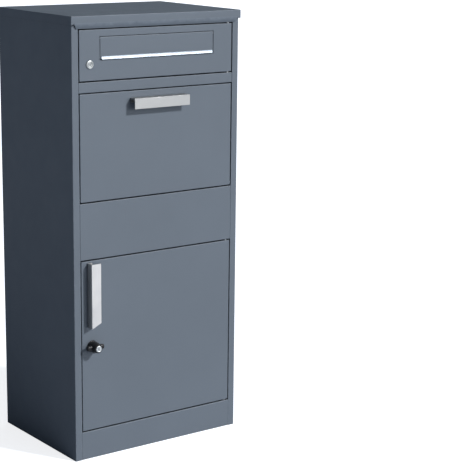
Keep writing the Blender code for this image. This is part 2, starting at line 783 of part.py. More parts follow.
def handle_screws(prefix, places):
    """The two screws that hold a handle, from behind the door's sheet."""
    screws = []
    head = SHEET + FIT
    for label, x, z in places:
        profile = [
            (0.0, HANDLE_WALL - FIT),
            (SCREW_RADIUS, HANDLE_WALL - FIT),
            (SCREW_RADIUS, -head),
            (SCREW_HEAD_RADIUS, -head),
            (SCREW_HEAD_RADIUS, -head - SCREW_HEAD),
            (0.0, -head - SCREW_HEAD),
        ]
        screws.append(turned(prefix + "_screw_" + label, profile, x, z, "zinc", SMALL_SIDES))
    return screws


def tray_handle(panel):
    """The tray's handle lies across the panel, its grip hanging down from the web."""
    top = TRAY_TOP - TRAY_HANDLE_FROM_TOP
    outline = [(y, across) for across, y in handle_outline(top, -1)]
    half = HANDLE_LENGTH / 2
    handle = plate("tray_handle", outline, "X", -half, half, "satin")
    z = top - HANDLE_SCREW_INSET
    offset = HANDLE_SCREW_SPACING / 2
    places = [("left", -offset, z), ("right", offset, z)]
    for label, x, level in places:
        for piece in (handle, panel):
            cut_hole(piece, "hole_" + label, "Y", (x, FRONT, level), SCREW_HOLE, HOLE_DEPTH)
    return [handle] + handle_screws("tray_handle", places)


def door_handle(panel):
    """The door's handle stands upright, its web on the left, its lower end cut on the slant."""
    edge = -DOOR_HALF + DOOR_HANDLE_FROM_EDGE
    top = DOOR_TOP - DOOR_HANDLE_FROM_TOP
    bottom = top - HANDLE_LENGTH
    outline = handle_outline(edge, 1)
    handle = plate("door_handle", outline, "Z", bottom, top, "satin")
    corner = [
        (edge, bottom),
        (edge - HANDLE_FACE, bottom - HANDLE_END_CUT),
        (edge + 2 * HANDLE_FACE, bottom - HANDLE_END_CUT),
        (edge + 2 * HANDLE_FACE, bottom + 2 * HANDLE_END_CUT),
    ]
    ahead = FRONT - 2 * HANDLE_PROJECTION
    end = plate_mesh("door_handle_end", corner, "Y", ahead, FRONT + SHEET)
    combine(handle, add_cutter("door_handle_end", end), "DIFFERENCE")
    x = edge + HANDLE_SCREW_INSET
    middle = (top + bottom) / 2
    offset = HANDLE_SCREW_SPACING / 2
    places = [("top", x, middle + offset), ("bottom", x, middle - offset)]
    for label, across, level in places:
        for piece in (handle, panel):
            cut_hole(piece, "hole_" + label, "Y", (across, FRONT, level), SCREW_HOLE, HOLE_DEPTH)
    return [handle] + handle_screws("door_handle", places)


def flap_spring(side):
    """A torsion spring round the rod's end, one leg on the flap and one on the door."""
    start = FLAP_HALF + SPRING_WIRE_RADIUS + 2 * FIT
    turns = SPRING_TURNS * SPRING_POINTS_PER_TURN
    points = [(start, FLAP_AXIS_Y + SPRING_COIL_RADIUS, FLAP_AXIS_Z - SPRING_LEG)]
    for step in range(turns + 1):
        angle = 2 * math.pi * step / SPRING_POINTS_PER_TURN
        points.append(
            (
                start + SPRING_PITCH * step / SPRING_POINTS_PER_TURN,
                FLAP_AXIS_Y + SPRING_COIL_RADIUS * math.cos(angle),
                FLAP_AXIS_Z + SPRING_COIL_RADIUS * math.sin(angle),
            )
        )
    last = points[-1]
    points.append((last[0], last[1], FLAP_AXIS_Z - SPRING_LEG))
    name = "flap_spring_" + ("right" if side > 0 else "left")
    curve = bpy.data.curves.new(name, "CURVE")
    curve.dimensions = "3D"
    curve.bevel_depth = SPRING_WIRE_RADIUS
    curve.bevel_resolution = 1
    curve.use_fill_caps = True
    spline = curve.splines.new("POLY")
    spline.points.add(len(points) - 1)
    for point, place in zip(spline.points, points):
        point.co = (side * place[0], place[1], place[2], 1.0)
    wire = bpy.data.objects.new(name + "_wire", curve)
    CUTTERS.objects.link(wire)
    bpy.context.view_layer.update()
    graph = bpy.context.evaluated_depsgraph_get()
    mesh = bpy.data.meshes.new_from_object(wire.evaluated_get(graph))
    bpy.data.objects.remove(wire, do_unlink=True)
    mesh.materials.clear()
    bm = bmesh.new()
    bm.from_mesh(mesh)
    bmesh.ops.remove_doubles(bm, verts=bm.verts, dist=MERGE_DISTANCE)
    bmesh.ops.recalc_face_normals(bm, faces=bm.faces)
    bm.to_mesh(mesh)
    bm.free()
    spring = add_part(name, mesh, "zinc")
    smooth_round(spring)
    return spring


def spring_end():
    """How far from the middle the spring's outer end lies."""
    return FLAP_HALF + 2 * SPRING_WIRE_RADIUS + 3 * FIT + SPRING_PITCH * SPRING_TURNS


def flap_bracket(side):
    """An angle behind the door with the hole that the rod's end turns in."""
    inner = spring_end()
    outline = [
        (inner, FRONT + FLAP_EAR_DEPTH),
        (inner, BEHIND_FACE),
        (inner + FLAP_EAR_WIDTH, BEHIND_FACE),
    ]
    if side < 0:
        outline = mirror_x(outline)
    label = "right" if side > 0 else "left"
    low = FLAP_AXIS_Z - FLAP_EAR_HEIGHT / 2
    bracket = folded("flap_bracket_" + label, outline, "Z", low, low + FLAP_EAR_HEIGHT, "zinc")
    middle = (side * inner, FLAP_AXIS_Y, FLAP_AXIS_Z)
    cut_hole(bracket, "hole", "X", middle, ROD_RADIUS + FIT)
    return bracket


def mail_flap():
    """The letter flap, hemmed round its rod, with a bright finger lip along its lower edge."""
    outline = [
        (FRONT + FLAP_HEM, FLAP_TOP - FLAP_HEM_DROP),
        (FRONT + FLAP_HEM, FLAP_TOP),
        (FRONT, FLAP_TOP),
        (FRONT, FLAP_BOTTOM),
        (FRONT + FLAP_HEM, FLAP_BOTTOM),
    ]
    flap = folded("mail_flap", outline, "X", -FLAP_HALF, FLAP_HALF, "powder")
    lip_top = FLAP_BOTTOM + LIP_HEIGHT
    seat = FRONT - SHEET - FIT
    outline = [
        (seat, lip_top),
        (seat, lip_top - LIP_SEAT),
        (FRONT - LIP_PROUD, FLAP_BOTTOM),
    ]
    half = FLAP_HALF - LIP_INSET
    lip = folded("mail_flap_lip", outline, "X", -half, half, "lip")
    half = spring_end() + 2 * SHEET + FIT
    rod_part = rod("flap_hinge_rod", "X", (0.0, FLAP_AXIS_Y, FLAP_AXIS_Z), ROD_RADIUS, 2 * half, "zinc")
    return [flap, lip, rod_part]


def mail_door():
    """The mail door with its pivots, lock, flap and the flap's springs."""
    panel = door_pan("mail_door_panel", MAIL_DOOR_BOTTOM, MAIL_DOOR_TOP)
    half = FLAP_HALF + FLAP_SIDE_GAP
    low = (-half, FRONT - PAN_DEPTH / 4, FLAP_BOTTOM - FLAP_SIDE_GAP)
    high = (half, FRONT + PAN_DEPTH / 4, FLAP_TOP + FLAP_TOP_GAP)
    cut_box(panel, "flap_opening", low, high)
    place = (LOCK_X, FRONT, MAIL_LOCK_Z)
    cut_hole(panel, "lock_hole", "Y", place, MAIL_BARREL_RADIUS + FIT)
    fixed, turning = mail_lock()
    pieces = [panel] + fixed
    pieces += pivot("mail_door", MAIL_DOOR_TOP, HEADER_BOTTOM, True)
    pieces += pivot("mail_door", MAIL_DOOR_BOTTOM, RAIL_TOP, False)
    for side in (-1, 1):
        pieces += [flap_bracket(side), flap_spring(side)]
    door_axis = axis_empty("mail_door_axis", (PIVOT_X, PIVOT_Y, MAIL_DOOR_BOTTOM))
    hang(door_axis, pieces)
    flap_axis = axis_empty("mail_flap_axis", (0.0, FLAP_AXIS_Y, FLAP_AXIS_Z), door_axis)
    hang(flap_axis, mail_flap())
    lock_axis = axis_empty("mail_lock_axis", (LOCK_X, FRONT, MAIL_LOCK_Z), door_axis)
    hang(lock_axis, turning)


def tray_point(back, up):
    """A place on the tray's section, measured from its pivot."""
    return (PIVOT_Y + back, TRAY_AXIS_Z + up)


def tray():
    """The tilt-out parcel tray: a front pan, two cheeks, a rounded top wall and a chute plate."""
    low = (-DOOR_HALF, FRONT, TRAY_BOTTOM)
    high = (DOOR_HALF, FRONT + PAN_DEPTH, TRAY_TOP)
    panel = pan("tray_front_panel", low, high, (0, 1, 0), "powder")
    for side, label in ((-1, "left"), (1, "right")):
        hole = (side * DOOR_HALF, PIVOT_Y, TRAY_AXIS_Z)
        cut_hole(panel, label + "_pin_hole", "X", hole, PIN_HOLE)
    face = SHEET + FIT - PIVOT_SETBACK
    corner = (SCOOP_DEPTH - SCOOP_CORNER, SCOOP_HEIGHT - SCOOP_CORNER)
    inside = SCOOP_CORNER - SHEET - FIT
    bottom = SHEET + FIT - TRAY_PIVOT_RISE
    cheek = [(face, bottom), (face, SCOOP_HEIGHT - SHEET - FIT)]
    cheek += arc(corner, inside, 90, 0)
    rear = SCOOP_DEPTH - SHEET - FIT
    cheek += [(rear, -CHEEK_DROP), (CHUTE_REACH, -CHUTE_DROP - SHEET), (CHUTE_START, bottom)]
    outline = [tray_point(back, up) for back, up in cheek]
    pieces = [panel]
    for side, label in ((-1, "left"), (1, "right")):
        ends = sorted((side * CHEEK_INSIDE, side * CHEEK_OUTSIDE))
        pieces.append(plate("tray_" + label + "_cheek", outline, "X", ends[0], ends[1], "powder"))
    wall = arc(corner, SCOOP_CORNER, 0, 90) + [(face, SCOOP_HEIGHT)]
    outline = [tray_point(back, up) for back, up in wall]
    pieces.append(
        folded("tray_top_wall", outline, "X", -CHEEK_OUTSIDE, CHEEK_OUTSIDE, "powder")
    )
    chute = [
        (face, CHUTE_LIP),
        (face, bottom + FIT),
        (CHUTE_START, bottom + FIT),
        (CHUTE_REACH, -CHUTE_DROP),
    ]
    outline = [tray_point(back, up) for back, up in chute]
    half = CHEEK_INSIDE - FIT
    pieces.append(folded("tray_chute_plate", outline, "X", -half, half, "powder"))
    pieces += tray_handle(panel)
    hang(axis_empty("tray_axis", (0.0, PIVOT_Y, TRAY_AXIS_Z)), pieces)


def stiffener():
    """A hat section up the inside of the lower door."""
    middle = -DOOR_HALF + STIFFENER_FROM_EDGE
    half = STIFFENER_WIDTH / 2
    crown = STIFFENER_CROWN / 2
    foot = crown + 2 * SHEET
    top_y = FRONT + STIFFENER_DEPTH
    outline = [
        (middle - half, BEHIND_FACE),
        (middle - foot, BEHIND_FACE),
        (middle - crown, top_y),
        (middle + crown, top_y),
        (middle + foot, BEHIND_FACE),
        (middle + half, BEHIND_FACE),
    ]
    start = DOOR_BOTTOM + STIFFENER_END_GAP
    stop = DOOR_TOP - STIFFENER_END_GAP
    return folded("lower_door_stiffener", outline, "Z", start, stop, "powder")


def lower_door():
    """The lower door with its pivots, stiffener, handle and knob lock."""
    panel = door_pan("lower_door_panel", DOOR_BOTTOM, DOOR_TOP)
    cut_hole(panel, "lock_hole", "Y", (LOCK_X, FRONT, KNOB_Z), KNOB_BARREL_RADIUS + FIT)
    fixed, turning, key = knob_lock()
    pieces = [panel, stiffener()] + fixed + door_handle(panel)
    pieces += pivot("lower_door", DOOR_TOP, FIXED_BOTTOM, True)
    pieces += pivot("lower_door", DOOR_BOTTOM, PLINTH_HEIGHT, False)
    door_axis = axis_empty("lower_door_axis", (PIVOT_X, PIVOT_Y, DOOR_BOTTOM))
    hang(door_axis, pieces)
    knob_axis = axis_empty("knob_axis", (LOCK_X, FRONT, KNOB_Z), door_axis)
    hang(knob_axis, turning)
    key_axis = axis_empty("key_plug_axis", (LOCK_X, FRONT, KNOB_Z), knob_axis)
    hang(key_axis, key)


clear_scene()
PARTS = make_collection("parcel_drop_box")
CUTTERS = make_collection("cutters")
side_panels()
back_panel()
top_cap()
header_rail()
mail_rail()
mail_shelf()
fixed_front_panel()
plinth_panel()
floor_panel()
tray_pins()
door_buffer()
mail_door()
tray()
lower_door()
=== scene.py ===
"""The parcel drop box's looks: finishes for every sheet, handle and lock, and the studio around them."""
import json
import math

import bmesh
import bpy
from mathutils import Matrix, Vector

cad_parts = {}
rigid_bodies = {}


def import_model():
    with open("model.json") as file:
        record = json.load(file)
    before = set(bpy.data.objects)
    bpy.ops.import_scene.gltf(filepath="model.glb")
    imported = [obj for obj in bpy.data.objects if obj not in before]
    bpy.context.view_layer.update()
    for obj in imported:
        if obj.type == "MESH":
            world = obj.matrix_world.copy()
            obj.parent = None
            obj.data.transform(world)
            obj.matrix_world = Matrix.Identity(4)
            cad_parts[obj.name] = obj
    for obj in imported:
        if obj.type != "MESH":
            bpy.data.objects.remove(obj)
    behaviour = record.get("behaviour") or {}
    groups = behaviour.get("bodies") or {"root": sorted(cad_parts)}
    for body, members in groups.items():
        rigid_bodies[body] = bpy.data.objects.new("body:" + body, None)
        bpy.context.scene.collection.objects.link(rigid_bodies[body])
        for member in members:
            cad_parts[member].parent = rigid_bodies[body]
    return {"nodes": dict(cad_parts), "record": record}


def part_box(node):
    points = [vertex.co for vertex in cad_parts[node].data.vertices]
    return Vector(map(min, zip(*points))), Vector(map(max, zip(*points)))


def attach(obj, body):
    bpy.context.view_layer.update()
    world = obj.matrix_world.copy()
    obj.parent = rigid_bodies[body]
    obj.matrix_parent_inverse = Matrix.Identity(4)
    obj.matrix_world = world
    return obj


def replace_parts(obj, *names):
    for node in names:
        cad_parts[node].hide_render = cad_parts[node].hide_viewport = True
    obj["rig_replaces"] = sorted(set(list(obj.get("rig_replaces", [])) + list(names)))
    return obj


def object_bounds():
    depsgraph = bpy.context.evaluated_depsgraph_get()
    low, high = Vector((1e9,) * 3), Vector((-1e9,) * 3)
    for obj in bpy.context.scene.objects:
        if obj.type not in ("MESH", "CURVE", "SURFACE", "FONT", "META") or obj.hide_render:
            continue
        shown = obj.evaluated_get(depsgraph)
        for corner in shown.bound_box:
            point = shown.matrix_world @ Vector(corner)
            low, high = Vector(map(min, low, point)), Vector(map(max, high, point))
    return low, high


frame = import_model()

CAD_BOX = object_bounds()
NODES = frame["nodes"]
RECORD = frame["record"]
BODY_OF = {node: body for body, nodes in RECORD["behaviour"]["bodies"].items() for node in nodes}

# Camera: where it stands, which way it looks in degrees, and its lens in millimetres
CAMERA_PLACE = (-1.8679, -2.9248, 1.2450)
CAMERA_YAW = -36.93
CAMERA_PITCH = -12.56
CAMERA_ROLL = -0.71
CAMERA_LENS = 115.24

# Studio light
KEY_FROM = Vector((0.405, -0.717, 0.566))
KEY_STRENGTH = 4.2
KEY_ANGLE = 5.0
FILL_FROM = Vector((0.30, -0.95, 0.02))
FILL_STRENGTH = 2.5
FILL_ANGLE = 50.0
AMBIENT = 0.14
ROOM_IN_METAL = 0.22
BACK_FILL_FROM = Vector((0.72, 0.68, 0.08))
BACK_FILL_STRENGTH = 1.5
BACK_FILL_ANGLE = 30.0
FLOOR_SIZE = 60.0

# Sheet metal and edges, in metres
SHEET = 0.001
FOLD_OUTSIDE = 0.0016
FOLD_INSIDE = 0.0006
BRACKET_OUTSIDE = 0.0008
BRACKET_INSIDE = 0.0003
RIM = 0.00022
EDGE = 0.00045
FIT = 0.0003
MERGE = 0.00001
ROLL = 0.004
# CREVICE is how far painted shade reaches into gaps and folds; CREVICE_SHADE is how dark that painted shade
# is, as a share of the coat's colour.
CREVICE = 0.008
CREVICE_SHADE = 0.05

# Angles in degrees: which corners are rounded, and where shading breaks
FOLD_ANGLE = 25.0
RIM_ANGLE = 60.0
SHALLOW_FOLD = 12.0
STEEP_FOLD = 40.0
TURNED_BREAK = 32.0
NUT_BREAK = 28.0
BODY_BREAK = 50.0

# Spot welds that hold the back panel
WELD_INSET = 0.0185
WELD_DENT = 0.0003
WELD_RADIUS = 0.0036
WELD_FLAT = 0.0016
WELD_SLOPE = 0.0030
WELD_END = 0.045
WELD_ROUND = 0.0006
WELD_OVERRUN = 0.0002
LONG_EDGE = 0.1
WELDS_A_SIDE = 9

# Locks, in metres: barrel radius, bore radius and bezel depth
MAIL_LOCK = (0.008, 0.0058, 0.0022)
KNOB_LOCK = (0.0095, 0.0053, 0.0019)
THREAD_PITCH = 0.0011
THREAD_DEPTH = 0.00035
FLAT_CUT = 0.0007
FLAT_START = 0.0016
KEYWAY_WIDTH = 0.0014
KEYWAY_DEPTH = 0.0042

# Screws
SCREW_PITCH = 0.0007
SCREW_THREAD = 0.0002
SCREW_HEAD_DEPTH = 0.0022
RECESS_DEPTH = 0.0013
HEAD_STEPS = 6

# Knob
KNOB_SKIN = 0.00038
KNOB_SMOOTHING = 8
WING_FRONT = 0.0186
WING_REAR = 0.0094
WING_HALF_WIDTH = 0.0057
WING_ROUND = 0.0036
SPINDLE_RADIUS = 0.005

# Torsion springs
SPRING_WIRE = 0.0004
SPRING_TURNS = 5
SPRING_STEPS = 20

# Colours, linear
COAT = (0.078, 0.094, 0.115)
COAT_WORN = (0.125, 0.148, 0.178)
ALUMINIUM = (0.675, 0.655, 0.635)
# The handle that lies across is the same aluminium as the upright one; its darker colour is painted shade.
ALUMINIUM_ACROSS_SHADED = (0.37, 0.37, 0.365)
LIP = (0.17, 0.195, 0.225)
KNOB_BLACK = (0.006, 0.006, 0.007)
RUBBER = (0.018, 0.018, 0.018)
NICKEL = (0.38, 0.395, 0.395)
KEY_NICKEL = (0.60, 0.62, 0.62)
ZINC = (0.56, 0.57, 0.58)
DUST = (0.30, 0.29, 0.27, 1.0)
DUST_ON_BLACK = (0.16, 0.16, 0.15, 1.0)
FLOOR = (0.44, 0.49, 0.57, 1.0)
FLOOR_LIGHTER = (0.46, 0.51, 0.59, 1.0)
ROOM_COLOUR = (0.80, 0.95, 1.15, 1.0)
MIRRORED_COLOUR = (0.78, 0.95, 1.15, 1.0)
WHITE = (1.0, 1.0, 1.0, 1.0)
FLOOR_GLOW = 0.80


# ------------------------------------------------------------------ shader groups

def new_group(name, inputs, outputs):
    """A shader node group; inputs are (label, kind, value), and outputs are (label, kind)."""
    group = bpy.data.node_groups.new(name, "ShaderNodeTree")
    for label, kind, value in inputs:
        socket = group.interface.new_socket(label, in_out="INPUT", socket_type=kind)
        if value is not None:
            socket.default_value = value
    for label, kind in outputs:
        group.interface.new_socket(label, in_out="OUTPUT", socket_type=kind)
    return group, group.nodes.new("NodeGroupInput"), group.nodes.new("NodeGroupOutput")


def put(tree, kind, **settings):
    """Add a node and set its own properties."""
    node = tree.nodes.new(kind)
    for label, value in settings.items():
        setattr(node, label, value)
    return node


def feed(tree, node, label, value):
    """Give an input socket a number, a colour or a link."""
    if isinstance(value, bpy.types.NodeSocket):
        tree.links.new(value, node.inputs[label])
    else:
        node.inputs[label].default_value = value


def noise(tree, vector, scale, detail=2.0, roughness=0.5):
    """A noise pattern from 0 to 1."""
    node = put(tree, "ShaderNodeTexNoise")
    for label, value in (
        ("Vector", vector), ("Scale", scale), ("Detail", detail), ("Roughness", roughness)
    ):
        feed(tree, node, label, value)
    return node.outputs["Fac"]


def spread(tree, value, low, high, to_low=0.0, to_high=1.0):
    """Map a range of values onto another and hold it there."""
    node = put(tree, "ShaderNodeMapRange")
    for label, number in (
        ("Value", value), ("From Min", low), ("From Max", high), ("To Min", to_low), ("To Max", to_high)
    ):
        feed(tree, node, label, number)
    return node.outputs["Result"]


def maths(tree, operation, first, second):
    """One sum on two values."""
    node = put(tree, "ShaderNodeMath", operation=operation)
    feed(tree, node, 0, first)
    feed(tree, node, 1, second)
    return node.outputs[0]


def blend_colours(tree, share, first, second):
    """Mix two colours by a share."""
    node = put(tree, "ShaderNodeMix", data_type="RGBA")
    feed(tree, node, 0, share)
    feed(tree, node, 6, first)
    feed(tree, node, 7, second)
    return node.outputs[2]


def stretch(tree, vector, scale):
    """Scale a pattern's axes."""
    node = put(tree, "ShaderNodeMapping")
    feed(tree, node, "Vector", vector)
    feed(tree, node, "Scale", scale)
    return node.outputs["Vector"]


def powder_group():
    """Powder coat: the small waves that it sets in, its fine grain, and slow shifts of tone."""
    tree, start, end = new_group(
        "powder_coat_surface",
        [
            ("Vector", "NodeSocketVector", None),
            ("Wave Scale", "NodeSocketFloat", 420.0),
            ("Grain Scale", "NodeSocketFloat", 2600.0),
            ("Grain Share", "NodeSocketFloat", 0.35),
        ],
        [("Height", "NodeSocketFloat"), ("Tone", "NodeSocketFloat"), ("Gloss", "NodeSocketFloat")],
    )
    vector = start.outputs["Vector"]
    wave = noise(tree, vector, start.outputs["Wave Scale"], 1.0, 0.4)
    grain = noise(tree, vector, start.outputs["Grain Scale"], 1.0, 0.5)
    fine = maths(tree, "MULTIPLY", grain, start.outputs["Grain Share"])
    feed(tree, end, "Height", maths(tree, "ADD", wave, fine))
    slow = noise(tree, vector, 5.0, 3.0, 0.55)
    speck = noise(tree, vector, 900.0, 1.0, 0.6)
    tone = maths(tree, "ADD", maths(tree, "MULTIPLY", slow, 0.6), maths(tree, "MULTIPLY", speck, 0.4))
    feed(tree, end, "Tone", spread(tree, tone, 0.3, 0.7))
    feed(tree, end, "Gloss", spread(tree, noise(tree, vector, 22.0, 4.0, 0.6), 0.3, 0.7))
    return tree


def edge_group():
    """Where a coat is thin and rubbed: the folds and rims, broken up so that they aren't even."""
    tree, start, end = new_group(
        "edge_wear",
        [
            ("Vector", "NodeSocketVector", None),
            ("Edge", "NodeSocketFloat", 0.0),
            ("Break Scale", "NodeSocketFloat", 60.0),
            ("Amount", "NodeSocketFloat", 0.5),
        ],
        [("Mask", "NodeSocketFloat")],
    )
    patches = noise(tree, start.outputs["Vector"], start.outputs["Break Scale"], 4.0, 0.6)
    broken = spread(tree, patches, 0.35, 0.7)
    share = maths(tree, "MULTIPLY", start.outputs["Amount"], start.outputs["Edge"])
    feed(tree, end, "Mask", maths(tree, "MULTIPLY", broken, share))
    return tree


def dust_group():
    """A light film of dust that settles on faces that look up."""
    tree, start, end = new_group(
        "settled_dust",
        [("Vector", "NodeSocketVector", None), ("Amount", "NodeSocketFloat", 0.3)],
        [("Mask", "NodeSocketFloat")],
    )
    facing = put(tree, "ShaderNodeSeparateXYZ")
    feed(tree, facing, 0, put(tree, "ShaderNodeNewGeometry").outputs["Normal"])
    upward = spread(tree, facing.outputs["Z"], 0.5, 0.95)
    patches = spread(tree, noise(tree, start.outputs["Vector"], 14.0, 6.0, 0.65), 0.3, 0.75)
    film = maths(tree, "MULTIPLY", upward, patches)
    feed(tree, end, "Mask", maths(tree, "MULTIPLY", film, start.outputs["Amount"]))
    return tree


def grain_group():
    """Brushed metal: long fine lines along one axis, and a softer cloud across them."""
    tree, start, end = new_group(
        "brushed_grain",
        [("Vector", "NodeSocketVector", None), ("Stretch", "NodeSocketVector", (1.0, 1.0, 1.0))],
        [("Lines", "NodeSocketFloat"), ("Cloud", "NodeSocketFloat")],
    )
    node = put(tree, "ShaderNodeMapping")
    feed(tree, node, "Vector", start.outputs["Vector"])
    feed(tree, node, "Scale", start.outputs["Stretch"])
    feed(tree, end, "Lines", noise(tree, node.outputs["Vector"], 1.0, 4.0, 0.65))
    feed(tree, end, "Cloud", noise(tree, start.outputs["Vector"], 35.0, 3.0, 0.5))
    return tree


POWDER_SURFACE = powder_group()
EDGE_WEAR = edge_group()
SETTLED_DUST = dust_group()
BRUSHED_GRAIN = grain_group()


# ------------------------------------------------------------------ materials

def new_material(name):
    """A material with its Principled shader and Object coordinates ready."""
    material = bpy.data.materials.new(name)
    material.use_nodes = True
    tree = material.node_tree
    shader = tree.nodes["Principled BSDF"]
    place = put(tree, "ShaderNodeTexCoord").outputs["Object"]
    return material, tree, shader, place


def shade(colour, factor):
    """A colour made lighter or darker, with its alpha, never past white."""
    return (*[min(1.0, factor * value) for value in colour], 1.0)


def use(tree, group, **inputs):
    """Put a shared group into a material with its own values."""
    node = put(tree, "ShaderNodeGroup", node_tree=group)
    for label, value in inputs.items():
        feed(tree, node, label.replace("_", " "), value)
    return node.outputs


def bump(tree, height, strength, distance):
    """A normal from a height."""
    node = put(tree, "ShaderNodeBump")
    for label, value in (("Height", height), ("Strength", strength), ("Distance", distance)):
        feed(tree, node, label, value)
    return node.outputs["Normal"]


def edge_value(tree):
    """How much of a fold or rim a face is, from the mesh."""
    node = put(tree, "ShaderNodeAttribute", attribute_type="GEOMETRY", attribute_name="edge")
    return node.outputs["Fac"]


def painted_crevice_shade_share(tree):
    """Painted shade for gaps round doors and folds: how closed in a point is by what stands within a few
    millimetres.
    """
    node = put(tree, "ShaderNodeAmbientOcclusion", samples=6)
    feed(tree, node, "Distance", CREVICE)
    return spread(tree, node.outputs["AO"], 0.24, 0.66, 1.0, 0.0)


def powder_material(name, colour, worn, dust):
    """Grey-blue powder coat on sheet steel, with painted shade darkening its gaps and inside folds."""
    material, tree, shader, place = new_material(name)
    surface = use(tree, POWDER_SURFACE, Vector=place)
    wear = use(tree, EDGE_WEAR, Vector=place, Edge=edge_value(tree), Amount=0.55)["Mask"]
    film = use(tree, SETTLED_DUST, Vector=place, Amount=dust)["Mask"]
    toned = blend_colours(tree, surface["Tone"], shade(colour, 0.94), shade(colour, 1.06))
    edged = blend_colours(tree, wear, toned, (*worn, 1.0))
    dusted = blend_colours(tree, film, edged, DUST)
    # Painted shade: the coat's colour goes almost black where ambient occlusion finds surfaces close by, in
    # gaps and inside folds.
    painted_crevice_shade_colour = shade(colour, CREVICE_SHADE)
    feed(tree, shader, "Base Color", blend_colours(tree, painted_crevice_shade_share(tree), dusted, painted_crevice_shade_colour))
    rough = spread(tree, surface["Gloss"], 0.0, 1.0, 0.50, 0.58)
    rubbed = maths(tree, "SUBTRACT", rough, maths(tree, "MULTIPLY", wear, 0.12))
    feed(tree, shader, "Roughness", maths(tree, "ADD", rubbed, maths(tree, "MULTIPLY", film, 0.3)))
    feed(tree, shader, "Normal", bump(tree, surface["Height"], 0.16, 0.00012))
    feed(tree, shader, "Specular IOR Level", 0.30)
    return material


def brushed_material(name, colour, direction, roughness, depth):
    """Brushed metal; its grain runs along the axis whose stretch is small."""
    material, tree, shader, place = new_material(name)
    grain = use(tree, BRUSHED_GRAIN, Vector=place, Stretch=direction)
    wear = use(tree, EDGE_WEAR, Vector=place, Edge=edge_value(tree), Amount=0.6)["Mask"]
    toned = blend_colours(tree, grain["Lines"], shade(colour, 0.86), shade(colour, 1.08))
    feed(tree, shader, "Base Color", blend_colours(tree, wear, toned, shade(colour, 1.18)))
    lined = spread(tree, grain["Lines"], 0.25, 0.75, roughness - 0.06, roughness + 0.08)
    clouded = spread(tree, grain["Cloud"], 0.3, 0.7, -0.03, 0.05)
    feed(tree, shader, "Roughness", maths(tree, "ADD", lined, clouded))
    feed(tree, shader, "Metallic", 1.0)
    feed(tree, shader, "Normal", bump(tree, grain["Lines"], 0.25, depth))
    return material


def moulded_material(name, colour, roughness, scale, depth, dust):
    """Moulded plastic or rubber with a fine spark-eroded texture."""
    material, tree, shader, place = new_material(name)
    surface = use(tree, POWDER_SURFACE, Vector=place, Wave_Scale=scale, Grain_Share=0.5)
    wear = use(tree, EDGE_WEAR, Vector=place, Edge=edge_value(tree), Amount=0.4)["Mask"]
    film = use(tree, SETTLED_DUST, Vector=place, Amount=dust)["Mask"]
    toned = blend_colours(tree, surface["Tone"], shade(colour, 1.0), shade(colour, 1.25))
    edged = blend_colours(tree, wear, toned, shade(colour, 2.2))
    feed(tree, shader, "Base Color", blend_colours(tree, film, edged, DUST_ON_BLACK))
    rough = spread(tree, surface["Gloss"], 0.0, 1.0, roughness - 0.05, roughness + 0.07)
    feed(tree, shader, "Roughness", rough)
    feed(tree, shader, "Normal", bump(tree, surface["Height"], 0.3, depth))
    feed(tree, shader, "Specular IOR Level", 0.28)
    return material


def plated_material(name, colour, roughness):
    """Plated metal: clouded, with tiny pits and a faint scatter of scratches."""
    material, tree, shader, place = new_material(name)
    cloud = noise(tree, place, 180.0, 4.0, 0.6)
    pits = noise(tree, place, 2400.0, 2.0, 0.5)
    scratches = noise(tree, stretch(tree, place, (260.0, 1900.0, 420.0)), 1.0, 2.0, 0.6)
    wear = use(tree, EDGE_WEAR, Vector=place, Edge=edge_value(tree), Amount=0.5)["Mask"]
    toned = blend_colours(tree, spread(tree, cloud, 0.3, 0.7), shade(colour, 0.82), shade(colour, 1.0))
    feed(tree, shader, "Base Color", blend_colours(tree, wear, toned, shade(colour, 1.2)))
    clouded = spread(tree, cloud, 0.3, 0.7, roughness - 0.05, roughness + 0.09)
    scratched = spread(tree, scratches, 0.62, 0.8, 0.0, 0.12)
    feed(tree, shader, "Roughness", maths(tree, "ADD", clouded, scratched))
    feed(tree, shader, "Metallic", 1.0)
    feed(tree, shader, "Normal", bump(tree, pits, 0.2, 0.00004))
    return material


MATERIALS = {
    "powder_coat": powder_material("powder_coat", COAT, COAT_WORN, 0.04),
    # The handle across gets a darker copy of the upright handle's aluminium: painted shade.
    "satin_handle_across_shaded": brushed_material(
        "satin_handle_across_shaded", ALUMINIUM_ACROSS_SHADED, (45.0, 3200.0, 3200.0), 0.36, 0.00003
    ),
    "satin_handle_upright": brushed_material(
        "satin_handle_upright", ALUMINIUM, (3200.0, 3200.0, 45.0), 0.36, 0.00003
    ),
    "bright_lip": brushed_material("bright_lip", LIP, (20.0, 1800.0, 1800.0), 0.42, 0.00002),
    "black_knob": moulded_material("black_knob", KNOB_BLACK, 0.36, 1100.0, 0.00004, 0.05),
    "black_rubber": moulded_material("black_rubber", RUBBER, 0.75, 1600.0, 0.00008, 0.12),
    "lock_metal": plated_material("lock_metal", NICKEL, 0.42),
    "key_metal": plated_material("key_metal", KEY_NICKEL, 0.36),
    "zinc_plate": plated_material("zinc_plate", ZINC, 0.33),
}


# ------------------------------------------------------------------ pieces

def finish_piece(bm, name, replaced, slot, material=None, smooth_below=40.0):
    """Turn a bmesh into a piece that rides on its CAD node's body and stands for it."""
    mesh = bpy.data.meshes.new(name)
    bm.to_mesh(mesh)
    bm.free()
    for face in mesh.polygons:
        face.use_smooth = True
    mesh.set_sharp_from_angle(angle=math.radians(smooth_below))
    mesh.materials.append(MATERIALS[material or slot])
    piece = bpy.data.objects.new(name, mesh)
    bpy.context.scene.collection.objects.link(piece)
    steady = piece.modifiers.new("steady_normals", "WEIGHTED_NORMAL")
    steady.keep_sharp = True
    steady.weight = 60
    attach(piece, BODY_OF[replaced])
    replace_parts(piece, replaced)
    return piece


